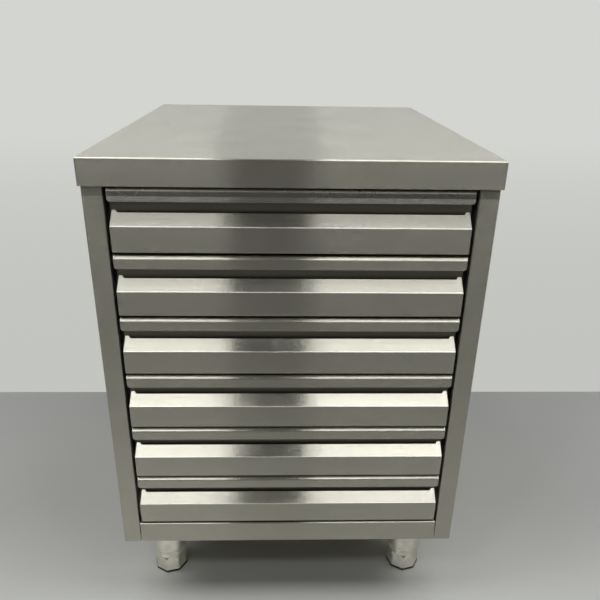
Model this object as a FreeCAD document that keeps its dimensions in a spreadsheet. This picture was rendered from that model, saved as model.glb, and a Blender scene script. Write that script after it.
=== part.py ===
"""Stainless steel drawer cabinet: six drawers with folded grip fronts on telescopic runners,
a boxed body with a folded worktop, and four tube legs with screw-down feet.

Frame: millimetres, +Z up, +X to the right as seen from the front, the fronts facing -Y.
The origin is on the floor, under the middle of the worktop.
"""
import FreeCAD, Part
import math
import os
import re
import Sketcher

SIZES = {
    # overall
    "width": 600.0,
    "depth": 700.0,
    "height": 850.0,
    "leg_height": 150.0,
    # sheet metal of the body and the drawers
    "sheet": 1.0,
    "bend": 2.0,
    "fit_gap": 1.0,
    # worktop
    "top_thickness": 40.0,
    "top_sheet": 1.5,
    "top_bend": 2.0,
    "top_overhang": 14.0,
    "top_return": 15.0,
    "core_thickness": 18.0,
    # side panels
    "flange_width": 30.0,
    "flange_return": 12.0,
    "rear_flange": 25.0,
    "top_flange": 25.0,
    "bottom_flange": 40.0,
    "corner_relief": 14.0,
    # back, base and front rail
    "back_lip": 12.0,
    "base_upturn": 30.0,
    "rail_height": 41.0,
    "rail_top": 20.0,
    "rail_joint": 1.0,
    "notch_radius": 1.6,
    # rails under the worktop
    "cross_rail_width": 40.0,
    "cross_rail_height": 20.0,
    "cross_rail_setback": 34.0,
    # uprights that carry the runners
    "upright_sheet": 1.5,
    "upright_width": 40.0,
    "upright_foot": 10.0,
    "upright_inset": 5.0,
    # telescopic runners
    "runner_length": 550.0,
    "runner_height": 45.6,
    "runner_depth": 12.7,
    "runner_reach": 11.0,
    "runner_sheet": 1.2,
    "runner_lip": 4.2,
    "runner_play": 0.4,
    "runner_level": 38.0,
    "runner_setback": 36.0,
    "runner_clearance": 2.0,
    # drawer fronts
    "front_gap": 7.6,
    "first_gap": 4.0,
    "last_gap": 7.0,
    "side_gap": 5.0,
    "grip_depth": 22.0,
    "grip_foot": 6.0,
    "lip_height": 18.0,
    "lip_bend": 5.0,
    "lip_corner": 4.0,
    "face_height": 40.0,
    "slope_rise": 18.6,
    "slope_slot": 3.6,
    "slope_lip": 10.0,
    "slope_relief": 3.0,
    "tab_width": 7.0,
    "face_upturn": 12.0,
    # drawer boxes
    "box_depth": 600.0,
    "box_floor": 6.0,
    "rim_drop": 21.0,
    "hem_height": 8.0,
    # legs
    "leg_diameter": 63.5,
    "leg_wall": 1.5,
    "leg_side_inset": 60.0,
    "leg_end_inset": 97.5,
    "leg_plate": 94.0,
    "leg_plate_thickness": 3.0,
    "leg_plate_corner": 12.0,
    "bush_length": 20.0,
    # studs and nuts that hold the legs
    "stud_diameter": 12.0,
    "stud_clearance": 0.5,
    "stud_end": 3.0,
    "nut_width": 18.0,
    "nut_height": 10.0,
    "thread_play": 0.05,
    # feet
    "foot_height": 38.0,
    "foot_gap": 0.3,
    "foot_wall": 1.5,
    "foot_top_radius": 31.2,
    "foot_base_radius": 32.0,
    "pad_radius": 32.6,
    "pad_thickness": 3.0,
    "plug_height": 8.0,
    "plug_play": 0.5,
    "stem_diameter": 16.0,
    "stem_length": 60.0,
    "turn_front_left": 24.0,
    "turn_front_right": 0.0,
    "turn_rear_left": 9.0,
    "turn_rear_right": 33.0,
}
DRAWERS = 6
FOOT_SIDES = 8
NUT_SIDES = 6

doc = FreeCAD.newDocument("drawer_cabinet")
sizes = doc.addObject("Spreadsheet::Sheet", "Sizes")
for row, (alias, number) in enumerate(SIZES.items(), start=1):
    sizes.set(f"A{row}", alias.replace("_", " "))
    sizes.set(f"B{row}", str(number))
    sizes.setAlias(f"B{row}", alias)
doc.recompute()

pieces = []


# Expressions: plain words in them are cells of the sheet of sizes.

def bound(formula):
    """The formula with each word, other than a function's name, read from the sheet of sizes."""
    return re.sub(r"\b([a-z][a-z_]*)\b(?!\()", r"Sizes.\1", formula)


def value(formula):
    return float(sizes.evalExpression(formula))


# Features: each helper makes one step of a body, tied to the sheet of sizes.

def new_body(label, x="0", y="0", z="0"):
    """A body with its own place; its sketches are in millimetres from there."""
    body = doc.addObject("PartDesign::Body", label)
    body.Label = label
    for axis, formula in (("x", x), ("y", y), ("z", z)):
        body.setExpression(f"Placement.Base.{axis}", bound(formula))
    pieces.append(body)
    return body


def plane_of(body, name):
    for feature in body.Origin.OriginFeatures:
        if feature.Role == f"{name}_Plane":
            return feature
    raise ValueError(name)


def new_sketch(body, plane, at="0"):
    sketch = body.newObject("Sketcher::SketchObject", "Sketch")
    sketch.AttachmentSupport = [(plane_of(body, plane), "")]
    sketch.MapMode = "FlatFace"
    sketch.setExpression("AttachmentOffset.Base.z", bound(at))
    return sketch


def tie_point(sketch, edge, point, corner):
    for kind, formula in zip(("DistanceX", "DistanceY"), corner):
        tie = sketch.addConstraint(Sketcher.Constraint(kind, -1, 1, edge, point, value(formula)))
        sketch.setExpression(f"Constraints[{tie}]", bound(formula))


def draw_outline(sketch, corners):
    """A closed outline of straight edges, each corner tied to the sketch's origin. A corner
    with a third value is rounded by it, and its edges are parallel to the sketch's axes."""
    count = len(corners)
    first = sketch.GeometryCount
    ends = [corner_ends(corners, number) for number in range(count)]
    for number in range(count):
        start = spot(ends[number][1])
        finish = spot(ends[(number + 1) % count][0])
        sketch.addGeometry(Part.LineSegment(start, finish), False)
    for number, (entry, leave, centre) in enumerate(ends):
        incoming = first + (number - 1) % count
        outgoing = first + number
        tie_point(sketch, outgoing, 1, leave)
        if centre is None:
            sketch.addConstraint(Sketcher.Constraint("Coincident", incoming, 2, outgoing, 1))
        else:
            tie_point(sketch, incoming, 2, entry)
            draw_corner(sketch, incoming, outgoing, spot(entry), spot(leave), centre)


def spot(corner):
    return FreeCAD.Vector(value(corner[0]), value(corner[1]), 0)


def corner_ends(corners, number):
    """Where an outline's edges meet at a corner: the end of one, the start of the next, and
    the centre of the arc between them, or none at a sharp corner."""
    here = corners[number]
    if len(here) == 2:
        return here, here, None
    radius = here[2]
    before = (spot(here) - spot(corners[number - 1])).normalize()
    after = (spot(corners[(number + 1) % len(corners)]) - spot(here)).normalize()

    def moved(x, y):
        return f"{here[0]} + ({round(x)})*({radius})", f"{here[1]} + ({round(y)})*({radius})"

    centre = moved(after.x - before.x, after.y - before.y)
    return moved(-before.x, -before.y), moved(after.x, after.y), centre


def draw_corner(sketch, incoming, outgoing, start, finish, centre):
    """The arc of a rounded corner. An arc runs anticlockwise, so its ends may be swapped."""
    middle = spot(centre)
    bulge = (start + finish) * 0.5 - middle
    top = middle + bulge.normalize() * start.distanceToPoint(middle)
    arc = sketch.addGeometry(Part.Arc(start, top, finish), False)
    at_start = sketch.Geometry[arc].StartPoint.distanceToPoint(start) < 0.001
    sketch.addConstraint(Sketcher.Constraint("Coincident", arc, 1 if at_start else 2, incoming, 2))
    sketch.addConstraint(Sketcher.Constraint("Coincident", arc, 2 if at_start else 1, outgoing, 1))
    tie = sketch.addConstraint(Sketcher.Constraint("DistanceX", -1, 1, arc, 3, middle.x))
    sketch.setExpression(f"Constraints[{tie}]", bound(centre[0]))


def draw_circle(sketch, centre, radius):
    edge = sketch.GeometryCount
    sketch.addGeometry(Part.Circle(spot(centre), FreeCAD.Vector(0, 0, 1), value(radius)), False)
    tie_point(sketch, edge, 3, centre)
    tie = sketch.addConstraint(Sketcher.Constraint("Radius", edge, value(radius)))
    sketch.setExpression(f"Constraints[{tie}]", bound(radius))


def rectangle(a_low, a_high, b_low, b_high):
    return [(a_low, b_low), (a_high, b_low), (a_high, b_high), (a_low, b_high)]


def outline_sketch(body, plane, corners, at="0"):
    sketch = new_sketch(body, plane, at)
    draw_outline(sketch, corners)
    return sketch


def pad(body, sketch, length, symmetric=False):
    feature = body.newObject("PartDesign::Pad", "Pad")
    feature.Profile = sketch
    feature.SideType = "Symmetric" if symmetric else "One side"
    feature.setExpression("Length", bound(length))
    doc.recompute()
    return feature


def pocket(body, sketch, length, symmetric=False, reverse=False):
    """Cuts the sketch out of the body, and stops if it points away from the solid."""
    before = body.Shape.Volume
    feature = body.newObject("PartDesign::Pocket", "Pocket")
    feature.Profile = sketch
    feature.SideType = "Symmetric" if symmetric else "One side"
    feature.Reversed = reverse
    feature.setExpression("Length", bound(length))
    doc.recompute()
    if body.Shape.Volume > before - 1e-3:
        raise RuntimeError(f"a pocket of {body.Label} cuts nothing")
    return feature


def fillet(body, base, names, radius):
    feature = body.newObject("PartDesign::Fillet", "Fillet")
    feature.Base = (base, names)
    feature.setExpression("Radius", bound(radius))
    doc.recompute()
    if not feature.isValid():
        raise RuntimeError(f"{body.Label} can't be rounded by {radius} at {names}")
    return feature


def edges_along(shape, axis, spots):
    """Names of the straight edges parallel to an axis through the given spots beside it."""
    others = [name for name in "xyz" if name != axis]
    places = [(value(a), value(b)) for a, b in spots]
    names = []
    for number, edge in enumerate(shape.Edges, start=1):
        if edge.Curve.TypeId != "Part::GeomLine":
            continue
        run = edge.Vertexes[-1].Point - edge.Vertexes[0].Point
        middle = edge.CenterOfMass
        across = abs(getattr(run, others[0])) + abs(getattr(run, others[1]))
        here = (getattr(middle, others[0]), getattr(middle, others[1]))
        near = any(abs(here[0] - a) + abs(here[1] - b) < 0.01 for a, b in places)
        if across < 0.001 and near:
            names.append(f"Edge{number}")
    return names


def round_edges(body, radius, axis, spots):
    """Rounds the edges parallel to an axis that pass through the given spots."""
    base = body.Tip
    names = edges_along(base.Shape, axis, spots)
    if len(names) < len(spots):
        raise RuntimeError(f"{body.Label} has no edge to round at {spots}")
    return fillet(body, base, names, radius)


def slant_walls(body, radius, angle, level):
    """Leans the flat walls whose middles lie at one distance from the body's axis. They keep
    their outline at one level, and above it a positive angle takes material away."""
    base = body.Tip
    names = []
    for number, face in enumerate(base.Shape.Faces, start=1):
        middle = face.CenterOfMass
        upright = abs(face.normalAt(0, 0).z) < 0.001
        if upright and abs(math.hypot(middle.x, middle.y) - value(radius)) < 0.01:
            names.append(f"Face{number}")
    feature = body.newObject("PartDesign::Draft", "Draft")
    feature.Base = (base, names)
    feature.NeutralPlane = (level, [""])
    feature.setExpression("Angle", bound(angle))
    doc.recompute()
    if len(names) != FOOT_SIDES or not feature.isValid():
        raise RuntimeError(f"the walls of {body.Label} can't be slanted")
    return feature


def mirror_body(body, features):
    """Adds the same features on the other side of the cabinet, left for right."""
    feature = body.newObject("PartDesign::Mirrored", "Mirrored")
    feature.Originals = features
    feature.MirrorPlane = (plane_of(body, "YZ"), [""])
    body.Tip = feature
    doc.recompute()
    return feature


# Places that several pieces share.

BODY_FRONT = "(-depth/2 + top_overhang)"
BODY_BACK = "(depth/2)"
BODY_HEIGHT = "(height - leg_height - top_thickness)"
SKIN = "(width/2 - sheet)"
INNER_BEND = "(bend - sheet)"
OPENING = "(width/2 - flange_width)"
RAIL_UNDERSIDE = f"({BODY_HEIGHT} - sheet - cross_rail_height)"
BASE_HALF = "(width/2 - bottom_flange - fit_gap/2)"
BASE_TOP = "(2*sheet)"
RUNNER_FACE = f"({OPENING} - runner_clearance)"
BOX_HALF = f"({RUNNER_FACE} - runner_depth)"
FRONT_HALF = f"({OPENING} - side_gap)"
GAPS = f"(first_gap + {DRAWERS - 1}*front_gap + last_gap)"
FRONT_HEIGHT = f"(({BODY_HEIGHT} - rail_height - {GAPS})/{DRAWERS})"
PITCH = f"({FRONT_HEIGHT} + front_gap)"
LIP_EDGE = f"({FRONT_HEIGHT} - lip_height)"
LEG_SIDE = "(width/2 - leg_side_inset)"
LEG_ROWS = {"front": f"({BODY_FRONT} + leg_end_inset)", "rear": f"({BODY_BACK} - leg_end_inset)"}


def leg_places():
    return [(f"{side}*{LEG_SIDE}", y) for y in LEG_ROWS.values() for side in (-1, 1)]


def drawer_level(number):
    """Height of the lower edge of a drawer's front; drawer 1 is the top one."""
    below = DRAWERS - number
    return f"(leg_height + rail_height + first_gap + {below}*{PITCH})"


# Worktop: a pan folded from one sheet, upside down, with edges turned in underneath.

def make_worktop():
    body = new_body("worktop", z="height - top_thickness")
    half_x = "width/2"
    half_y = "depth/2"
    blank = rectangle(f"-{half_x}", half_x, f"-{half_y}", half_y)
    pad(body, outline_sketch(body, "XY", blank), "top_thickness")
    sides = [(f"-{half_x}", f"-{half_y}"), (half_x, f"-{half_y}"),
             (half_x, half_y), (f"-{half_x}", half_y)]
    round_edges(body, "top_bend", "z", sides)
    round_rim(body, "top_bend", "top_thickness")
    inner_x = f"({half_x} - top_sheet)"
    inner_y = f"({half_y} - top_sheet)"
    hollow = rectangle(f"-{inner_x}", inner_x, f"-{inner_y}", inner_y)
    pocket(body, outline_sketch(body, "XY", hollow), "top_thickness - top_sheet", reverse=True)
    turn = new_sketch(body, "XY")
    edge_x = f"({half_x} - top_sheet/2)"
    edge_y = f"({half_y} - top_sheet/2)"
    draw_outline(turn, rectangle(f"-{edge_x}", edge_x, f"-{edge_y}", edge_y))
    turn_x = f"({half_x} - top_return)"
    turn_y = f"({half_y} - top_return)"
    draw_outline(turn, rectangle(f"-{turn_x}", turn_x, f"-{turn_y}", turn_y))
    pad(body, turn, "top_sheet")


def round_rim(body, radius, level):
    """Rounds every edge that lies flat at one level."""
    base = body.Tip
    names = []
    for number, edge in enumerate(base.Shape.Edges, start=1):
        box = edge.BoundBox
        if box.ZLength < 0.001 and abs(box.ZMin - value(level)) < 0.001:
            names.append(f"Edge{number}")
    return fillet(body, base, names, radius)


def make_worktop_core():
    """The board bonded under the steel, which stiffens and deadens the worktop."""
    level = "height - top_sheet - core_thickness"
    body = new_body("worktop_core", z=level)
    half_x = "(width/2 - top_sheet - fit_gap)"
    half_y = "(depth/2 - top_sheet - fit_gap)"
    board = rectangle(f"-{half_x}", half_x, f"-{half_y}", half_y)
    pad(body, outline_sketch(body, "XY", board), "core_thickness")


# Side panels: one folded sheet each, with the wide front flange that frames the drawers.

def make_side_panel(label, side):
    body = new_body(label, z="leg_height")

    def at(formula):
        return f"{side}*({formula})"

    inner_back = f"({BODY_BACK} - sheet)"
    inner_front = f"({BODY_FRONT} + sheet)"
    plan = [
        (at(OPENING), BODY_FRONT),
        (at("width/2"), BODY_FRONT),
        (at("width/2"), BODY_BACK),
        (at("width/2 - rear_flange"), BODY_BACK),
        (at("width/2 - rear_flange"), inner_back),
        (at(SKIN), inner_back),
        (at(SKIN), inner_front),
        (at(f"{OPENING} + sheet"), inner_front),
        (at(f"{OPENING} + sheet"), f"{BODY_FRONT} + flange_return"),
        (at(OPENING), f"{BODY_FRONT} + flange_return"),
    ]
    pad(body, outline_sketch(body, "XY", plan), BODY_HEIGHT)
    round_edges(body, "bend", "z", [plan[0], plan[1], plan[2]])
    round_edges(body, INNER_BEND, "z", [plan[5], plan[6], plan[7]])
    flange_front = f"({BODY_FRONT} + corner_relief)"
    flange_back = f"({BODY_BACK} - sheet - fit_gap)"
    for width, level in (("bottom_flange", "0"), ("top_flange", f"{BODY_HEIGHT} - sheet")):
        flange = rectangle(at(f"width/2 - {width}"), at("width/2 - sheet/2"), flange_front, flange_back)
        pad(body, outline_sketch(body, "XY", flange, at=level), "sheet")


def make_back_panel():
    """A flat sheet inside the rear flanges, its upper and lower edges turned forwards."""
    body = new_body("back_panel", z="leg_height")
    outer = f"({BODY_BACK} - sheet)"
    inner = f"({BODY_BACK} - 2*sheet)"
    lip = f"({outer} - back_lip)"
    low = "sheet"
    high = f"({BODY_HEIGHT} - sheet)"
    section = [
        (lip, low),
        (outer, low),
        (outer, high),
        (lip, high),
        (lip, f"{high} - sheet"),
        (inner, f"{high} - sheet"),
        (inner, f"{low} + sheet"),
        (lip, f"{low} + sheet"),
    ]
    pad(body, outline_sketch(body, "YZ", section), f"2*({SKIN} - fit_gap)", symmetric=True)
    round_edges(body, "bend", "x", [section[1], section[2]])
    round_edges(body, INNER_BEND, "x", [section[5], section[6]])


def make_base_panel():
    """The floor of the body: a pan with a front upturn behind the rail, stepped-up wings that
    lie on the lower flanges of the side panels, and a hole for each leg's stud."""
    body = new_body("base_panel", z="leg_height")
    front = f"({BODY_FRONT} + sheet)"
    back = f"({BODY_BACK} - sheet - back_lip - fit_gap)"
    section = [
        (front, "0"),
        (back, "0"),
        (back, "sheet"),
        (f"{front} + sheet", "sheet"),
        (f"{front} + sheet", "base_upturn"),
        (front, "base_upturn"),
    ]
    pad(body, outline_sketch(body, "YZ", section), f"2*{BASE_HALF}", symmetric=True)
    round_edges(body, "bend", "x", [section[0]])
    round_edges(body, INNER_BEND, "x", [section[3]])
    wing_front = f"({BODY_FRONT} + flange_return + fit_gap)"
    for side in (-1, 1):
        wing = rectangle(f"{side}*({BASE_HALF} - sheet)", f"{side}*({SKIN} - fit_gap)", wing_front, back)
        pad(body, outline_sketch(body, "XY", wing, at="sheet"), "sheet")
    holes = new_sketch(body, "XY")
    for place in leg_places():
        draw_circle(holes, place, "stud_diameter/2 + stud_clearance")
    pocket(body, holes, "sheet", reverse=True)


def make_front_rail():
    """The plinth rail between the front flanges, with a relief notch in each lower corner."""
    body = new_body("front_rail", y=BODY_FRONT, z="leg_height")
    half = f"({OPENING} - rail_joint)"
    section = [
        ("0", "0"),
        ("0", "rail_height"),
        ("rail_top", "rail_height"),
        ("rail_top", "rail_height - sheet"),
        ("sheet", "rail_height - sheet"),
        ("sheet", "0"),
    ]
    pad(body, outline_sketch(body, "YZ", section), f"2*{half}", symmetric=True)
    round_edges(body, "bend", "x", [section[1]])
    round_edges(body, INNER_BEND, "x", [section[4]])
    notches = new_sketch(body, "XZ")
    for sign in ("-", ""):
        draw_circle(notches, (f"{sign}{half}", "0"), "notch_radius")
    pocket(body, notches, "rail_top", symmetric=True)


# Cross rails under the worktop: C sections between the upper flanges of the side panels.

def make_cross_rail(label, front_edge, opens):
    body = new_body(label, y=front_edge, z="leg_height")
    near = "0" if opens == "back" else "cross_rail_width"
    web = "sheet" if opens == "back" else "cross_rail_width - sheet"
    far = "cross_rail_width" if opens == "back" else "0"
    high = f"({BODY_HEIGHT} - sheet)"
    section = [
        (near, RAIL_UNDERSIDE),
        (near, high),
        (far, high),
        (far, f"{high} - sheet"),
        (web, f"{high} - sheet"),
        (web, f"{RAIL_UNDERSIDE} + sheet"),
        (far, f"{RAIL_UNDERSIDE} + sheet"),
        (far, RAIL_UNDERSIDE),
    ]
    pad(body, outline_sketch(body, "YZ", section), f"2*({SKIN} - fit_gap)", symmetric=True)


# Uprights: hat sections welded inside the side panels, which carry the fixed runners. Each
# node holds the left and the right one of a row.

def upright_front(row):
    start = f"({BODY_FRONT} + runner_setback + upright_inset)"
    if row == "front":
        return start
    return f"({BODY_FRONT} + runner_setback + runner_length - upright_inset - upright_width)"


def make_uprights(row):
    body = new_body(f"{row}_uprights", z="leg_height")
    body.AllowCompound = True
    near = upright_front(row)
    far = f"({near} + upright_width)"
    hat = [
        (RUNNER_FACE, near),
        (f"{SKIN} - upright_sheet", near),
        (f"{SKIN} - upright_sheet", f"{near} - upright_foot"),
        (SKIN, f"{near} - upright_foot"),
        (SKIN, f"{near} + upright_sheet"),
        (f"{RUNNER_FACE} + upright_sheet", f"{near} + upright_sheet"),
        (f"{RUNNER_FACE} + upright_sheet", f"{far} - upright_sheet"),
        (SKIN, f"{far} - upright_sheet"),
        (SKIN, f"{far} + upright_foot"),
        (f"{SKIN} - upright_sheet", f"{far} + upright_foot"),
        (f"{SKIN} - upright_sheet", far),
        (RUNNER_FACE, far),
    ]
    upright = pad(body, outline_sketch(body, "XY", hat, at=BASE_TOP), f"{RAIL_UNDERSIDE} - {BASE_TOP}")
    mirror_body(body, [upright])


# Telescopic runners: three nested channels a side, each held by the lips of the next.
# Across, a point is measured from the upright's face; up, from the middle of the runner.

def runner_body(label, number):
    level = f"{drawer_level(number)} + runner_level"
    body = new_body(label, y=f"{BODY_FRONT} + runner_setback", z=level)
    body.AllowCompound = True
    return body


def runner_section(body, half_outline):
    """Pads a channel from the upper half of its section, and its twin on the other side."""
    upper = [(f"{RUNNER_FACE} - ({across})", up) for across, up in half_outline]
    lower = [(across, f"-({up})") for across, up in reversed(upper)]
    sketch = outline_sketch(body, "XZ", upper + lower)
    channel = body.newObject("PartDesign::Pad", "Pad")
    channel.Profile = sketch
    channel.Reversed = True
    channel.setExpression("Length", bound("runner_length"))
    doc.recompute()
    mirror_body(body, [channel])


def make_fixed_runner(number):
    top = "runner_height/2"
    runner_section(runner_body(f"fixed_runner_{number}", number), [
        ("0", top),
        ("runner_reach", top),
        ("runner_reach", f"{top} - runner_lip"),
        ("runner_reach - runner_sheet", f"{top} - runner_lip"),
        ("runner_reach - runner_sheet", f"{top} - runner_sheet"),
        ("runner_sheet", f"{top} - runner_sheet"),
    ])


def make_middle_runner(number):
    top = "(runner_height/2 - runner_sheet - runner_play)"
    web = "(runner_sheet + runner_play)"
    edge = "(runner_reach - runner_sheet - runner_play)"
    runner_section(runner_body(f"middle_runner_{number}", number), [
        (web, top),
        (edge, top),
        (edge, "runner_height/2 - runner_lip"),
        (f"{edge} - runner_sheet", "runner_height/2 - runner_lip"),
        (f"{edge} - runner_sheet", f"{top} - runner_sheet"),
        (f"{web} + runner_sheet", f"{top} - runner_sheet"),
    ])


def make_drawer_runner(number):
    top = "(runner_height/2 - runner_lip - runner_play)"
    tip = "(2*runner_sheet + 2*runner_play)"
    runner_section(runner_body(f"drawer_runner_{number}", number), [
        ("runner_depth", top),
        (f"{tip} + runner_sheet", top),
        (f"{tip} + runner_sheet", "runner_height/2 - 2*runner_sheet - 2*runner_play"),
        (tip, "runner_height/2 - 2*runner_sheet - 2*runner_play"),
        (tip, f"{top} - runner_sheet"),
        ("runner_depth - runner_sheet", f"{top} - runner_sheet"),
    ])


# Drawer fronts. A point is measured back from the front plane and up from the lower edge.

def drawer_body(label, number):
    return new_body(label, y=BODY_FRONT, z=drawer_level(number))


SLOPE = "(slope_rise/grip_depth)"
SLOPE_SHEET = f"(sheet*sqrt(1 + {SLOPE}^2))"


def slope_at(back):
    return f"(face_height + {SLOPE}*({back}))"


def make_drawer_grip(number):
    """The upper half of a front: the hooked lip, the top and the back wall of the finger gap,
    folded from one sheet."""
    body = drawer_body(f"drawer_grip_{number}", number)
    back = "(grip_depth + sheet)"
    section = [
        ("0", LIP_EDGE),
        ("0", FRONT_HEIGHT),
        (back, FRONT_HEIGHT),
        (back, "grip_foot"),
        ("grip_depth", "grip_foot"),
        ("grip_depth", f"{FRONT_HEIGHT} - sheet"),
        ("sheet", f"{FRONT_HEIGHT} - sheet"),
        ("sheet", LIP_EDGE),
    ]
    pad(body, outline_sketch(body, "YZ", section), f"2*{FRONT_HALF}", symmetric=True)
    round_edges(body, "lip_bend", "x", [section[1]])
    round_edges(body, "lip_bend - sheet", "x", [section[6]])
    round_edges(body, "bend", "x", [section[2]])
    round_edges(body, INNER_BEND, "x", [section[5]])
    round_edges(body, "lip_corner", "y", [(f"-{FRONT_HALF}", LIP_EDGE), (FRONT_HALF, LIP_EDGE)])


def make_drawer_face(number):
    """The lower half of a front: a pan with a vertical face and a slope above it. The slope
    reaches the back wall with a tab at each end, and between them it is turned down."""
    body = drawer_body(f"drawer_face_{number}", number)
    block = [
        ("0", "0"),
        ("0", "face_height"),
        ("grip_depth", slope_at("grip_depth")),
        ("grip_depth", "0"),
    ]
    pad(body, outline_sketch(body, "YZ", block), f"2*{FRONT_HALF}", symmetric=True)
    round_edges(body, "bend", "x", [block[0], block[1]])
    beyond = "(grip_depth + sheet)"
    hollow = [
        ("sheet", "sheet"),
        ("sheet", f"{slope_at('sheet')} - {SLOPE_SHEET}"),
        (beyond, f"{slope_at(beyond)} - {SLOPE_SHEET}"),
        (beyond, "face_upturn"),
        ("grip_depth - sheet", "face_upturn"),
        ("grip_depth - sheet", "sheet"),
    ]
    pocket(body, outline_sketch(body, "YZ", hollow), f"2*({FRONT_HALF} - sheet)", symmetric=True)
    round_edges(body, INNER_BEND, "x", [hollow[0], hollow[1]])
    edge = "(grip_depth - slope_slot)"
    tab = f"({FRONT_HALF} - tab_width)"
    slot = [
        (f"-{tab}", edge, "slope_relief"),
        (tab, edge, "slope_relief"),
        (tab, beyond),
        (f"-{tab}", beyond),
    ]
    above = f"{slope_at('grip_depth')} + sheet"
    drop = f"sheet + {SLOPE}*slope_slot + {SLOPE_SHEET} + sheet"
    pocket(body, outline_sketch(body, "XY", slot, at=above), drop)
    lip = [
        (edge, slope_at(edge)),
        (edge, f"{slope_at(edge)} - slope_lip"),
        (f"{edge} - sheet", f"{slope_at(edge)} - slope_lip"),
        (f"{edge} - sheet", f"{slope_at(edge)} - {SLOPE}*sheet"),
    ]
    lip_half = f"({tab} - slope_relief)"
    pad(body, outline_sketch(body, "YZ", lip), f"2*{lip_half}", symmetric=True)


def make_drawer_box(number):
    """The tray behind a front: floor and sides folded from one sheet, the ends welded in, and
    the whole rim hemmed inwards."""
    body = drawer_body(f"drawer_box_{number}", number)
    start = "(grip_depth + sheet)"
    top = f"({FRONT_HEIGHT} - rim_drop)"
    half = f"({BOX_HALF} - sheet)"
    hem_edge = f"({half} - sheet)"
    right = [
        (BOX_HALF, "box_floor"),
        (BOX_HALF, top),
        (hem_edge, top),
        (hem_edge, f"{top} - hem_height"),
        (half, f"{top} - hem_height"),
        (half, "box_floor + sheet"),
    ]
    left = [(f"-{across}", up) for across, up in reversed(right)]
    trough = new_sketch(body, "XZ", at=f"-({start} + box_depth)")
    draw_outline(trough, right + left)
    pad(body, trough, "box_depth")
    round_edges(body, "bend", "y", [right[0], left[-1]])
    round_edges(body, INNER_BEND, "y", [right[-1], left[0]])
    for outer, step in ((start, "+"), (f"({start} + box_depth)", "-")):
        wall = [
            (outer, "box_floor + sheet/2"),
            (outer, top),
            (f"{outer} {step} 2*sheet", top),
            (f"{outer} {step} 2*sheet", f"{top} - hem_height"),
            (f"{outer} {step} sheet", f"{top} - hem_height"),
            (f"{outer} {step} sheet", "box_floor + sheet/2"),
        ]
        pad(body, outline_sketch(body, "YZ", wall), f"2*({half} + sheet/2)", symmetric=True)


# Legs: a tube with a welded plate and stud above and a threaded bush below, two to a node.

def make_legs(row):
    body = new_body(f"{row}_legs", y=LEG_ROWS[row])
    body.AllowCompound = True
    centre = (LEG_SIDE, "0")
    near = f"({LEG_SIDE} - leg_plate/2)"
    far = f"({LEG_SIDE} + leg_plate/2)"
    half = "leg_plate/2"
    cut = "leg_plate_corner"
    plate = [
        (f"{near} + {cut}", f"-{half}"),
        (f"{far} - {cut}", f"-{half}"),
        (far, f"-{half} + {cut}"),
        (far, f"{half} - {cut}"),
        (f"{far} - {cut}", half),
        (f"{near} + {cut}", half),
        (near, f"{half} - {cut}"),
        (near, f"-{half} + {cut}"),
    ]
    plate_level = "(leg_height - leg_plate_thickness)"
    steps = [pad(body, outline_sketch(body, "XY", plate, at=plate_level), "leg_plate_thickness")]
    stud_length = "leg_plate_thickness/2 + sheet + nut_height + stud_end"
    rings = [
        ("foot_height", f"{plate_level} - foot_height", "leg_diameter/2", "leg_diameter/2 - leg_wall"),
        ("foot_height", "bush_length", "leg_diameter/2 - leg_wall/2", "stem_diameter/2 + thread_play"),
        ("leg_height - leg_plate_thickness/2", stud_length, "stud_diameter/2", None),
    ]
    for level, length, radius, bore in rings:
        sketch = new_sketch(body, "XY", at=level)
        draw_circle(sketch, centre, radius)
        if bore:
            draw_circle(sketch, centre, bore)
        steps.append(pad(body, sketch, length))
    mirror_body(body, steps)


def polygon(count, radius, turn="0", centre=("0", "0")):
    """Corners of a regular outline; at no turn one corner points to the front."""
    corners = []
    for number in range(count):
        angle = f"({360 / count}*{number} - 90 + {turn})"
        corners.append((f"{centre[0]} + {radius}*cos({angle})", f"{centre[1]} + {radius}*sin({angle})"))
    return corners


def make_leg_nuts():
    """The nuts inside the body, one on each leg's stud."""
    body = new_body("leg_nuts", z="leg_height + sheet")
    body.AllowCompound = True
    sketch = new_sketch(body, "XY")
    for place in leg_places():
        corner = f"nut_width/2/cos({180 / NUT_SIDES})"
        draw_outline(sketch, polygon(NUT_SIDES, corner, centre=place))
        draw_circle(sketch, place, "stud_diameter/2 + thread_play")
    pad(body, sketch, "nut_height")


# Feet: an eight-sided steel cup on a screw stem, with a black plastic base pressed into it.

FOOT_TOP = "(foot_height - foot_gap)"
FLAT = f"cos({180 / FOOT_SIDES})"
LEAN = f"atan((foot_base_radius - foot_top_radius)*{FLAT}/({FOOT_TOP} - pad_thickness))"


def foot_body(label, side, row):
    return new_body(label, x=f"{side}*{LEG_SIDE}", y=LEG_ROWS[row])


def make_foot(label, side, row, turn):
    body = foot_body(label, side, row)
    outside = polygon(FOOT_SIDES, "foot_base_radius", turn)
    cup = outline_sketch(body, "XY", outside, at="pad_thickness")
    pad(body, cup, f"{FOOT_TOP} - pad_thickness")
    slant_walls(body, f"foot_base_radius*{FLAT}", LEAN, cup)
    inner_radius = f"(foot_base_radius - foot_wall/{FLAT})"
    hollow = outline_sketch(body, "XY", polygon(FOOT_SIDES, inner_radius, turn), at="pad_thickness")
    pocket(body, hollow, f"{FOOT_TOP} - foot_wall - pad_thickness", reverse=True)
    slant_walls(body, f"{inner_radius}*{FLAT}", f"-{LEAN}", cup)
    stem = new_sketch(body, "XY", at=f"{FOOT_TOP} - foot_wall/2")
    draw_circle(stem, ("0", "0"), "stem_diameter/2")
    pad(body, stem, "stem_length")


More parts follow.
